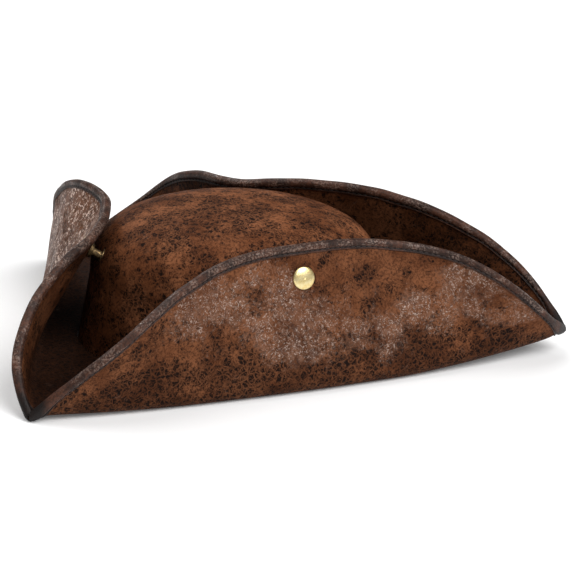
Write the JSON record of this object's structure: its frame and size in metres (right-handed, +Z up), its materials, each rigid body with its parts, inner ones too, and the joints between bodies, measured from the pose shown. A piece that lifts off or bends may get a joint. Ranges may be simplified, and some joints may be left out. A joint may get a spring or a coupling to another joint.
{
  "type": "pirate hat",
  "caption": "Three-cornered pirate hat in distressed brown leatherette, with a domed crown and three turned-up flaps fastened by domed brass press studs.",
  "frame": {"origin": "centre of the head opening, in the plane that the brim rests on", "axes": "+X towards the front corner, +Y towards the wearer's left, +Z up through the crown"},
  "size_m": [0.3608, 0.3264, 0.1],
  "materials": {
    "leather": "distressed brown leatherette with a black crackle and a low sheen",
    "binding": "smooth dark brown leatherette strip, satin",
    "thread": "matte polyester thread",
    "brass_snaps": "polished pale brass",
    "felt": "matte needled felt",
    "lining": "plain black lining cloth",
    "sweatband": "smooth dark leatherette, satin"
  },
  "bodies": {
    "hat": {"crown_cover": "leather", "crown_stiffener": "felt", "crown_lining": "lining", "sweatband": "sweatband", "sweatband_thread": "thread", "brim_top_cover": "leather", "brim_core": "felt", "brim_under_cover": "leather", "right_stud": "brass_snaps", "right_stud_washer": "brass_snaps", "left_stud": "brass_snaps", "left_stud_washer": "brass_snaps", "rear_stud": "brass_snaps", "rear_stud_washer": "brass_snaps"},
    "right_flap": {"right_flap_outer_cover": "leather", "right_flap_core": "felt", "right_flap_inner_cover": "leather", "right_flap_binding": "binding", "right_flap_thread": "thread", "right_snap_cap": "brass_snaps", "right_snap_socket": "brass_snaps"},
    "left_flap": {"left_flap_outer_cover": "leather", "left_flap_core": "felt", "left_flap_inner_cover": "leather", "left_flap_binding": "binding", "left_flap_thread": "thread", "left_snap_cap": "brass_snaps", "left_snap_socket": "brass_snaps"},
    "rear_flap": {"rear_flap_outer_cover": "leather", "rear_flap_core": "felt", "rear_flap_inner_cover": "leather", "rear_flap_binding": "binding", "rear_flap_thread": "thread", "rear_snap_cap": "brass_snaps", "rear_snap_socket": "brass_snaps"}
  },
  "joints": [
    {"name": "right_flap_fold", "type": "hinge", "parent": "hat", "child": "right_flap", "pos_m": [0.05607, -0.09122, 0], "axis": [0.9143, 0.4049, 0], "range_deg": [0, 80]},
    {"name": "left_flap_fold", "type": "hinge", "parent": "hat", "child": "left_flap", "pos_m": [0.05607, 0.09122, 0], "axis": [-0.9143, 0.4049, 0], "range_deg": [0, 80]},
    {"name": "rear_flap_fold", "type": "hinge", "parent": "hat", "child": "rear_flap", "pos_m": [-0.134, 0, 0], "axis": [0, -1, 0], "range_deg": [0, 80]}
  ]
}
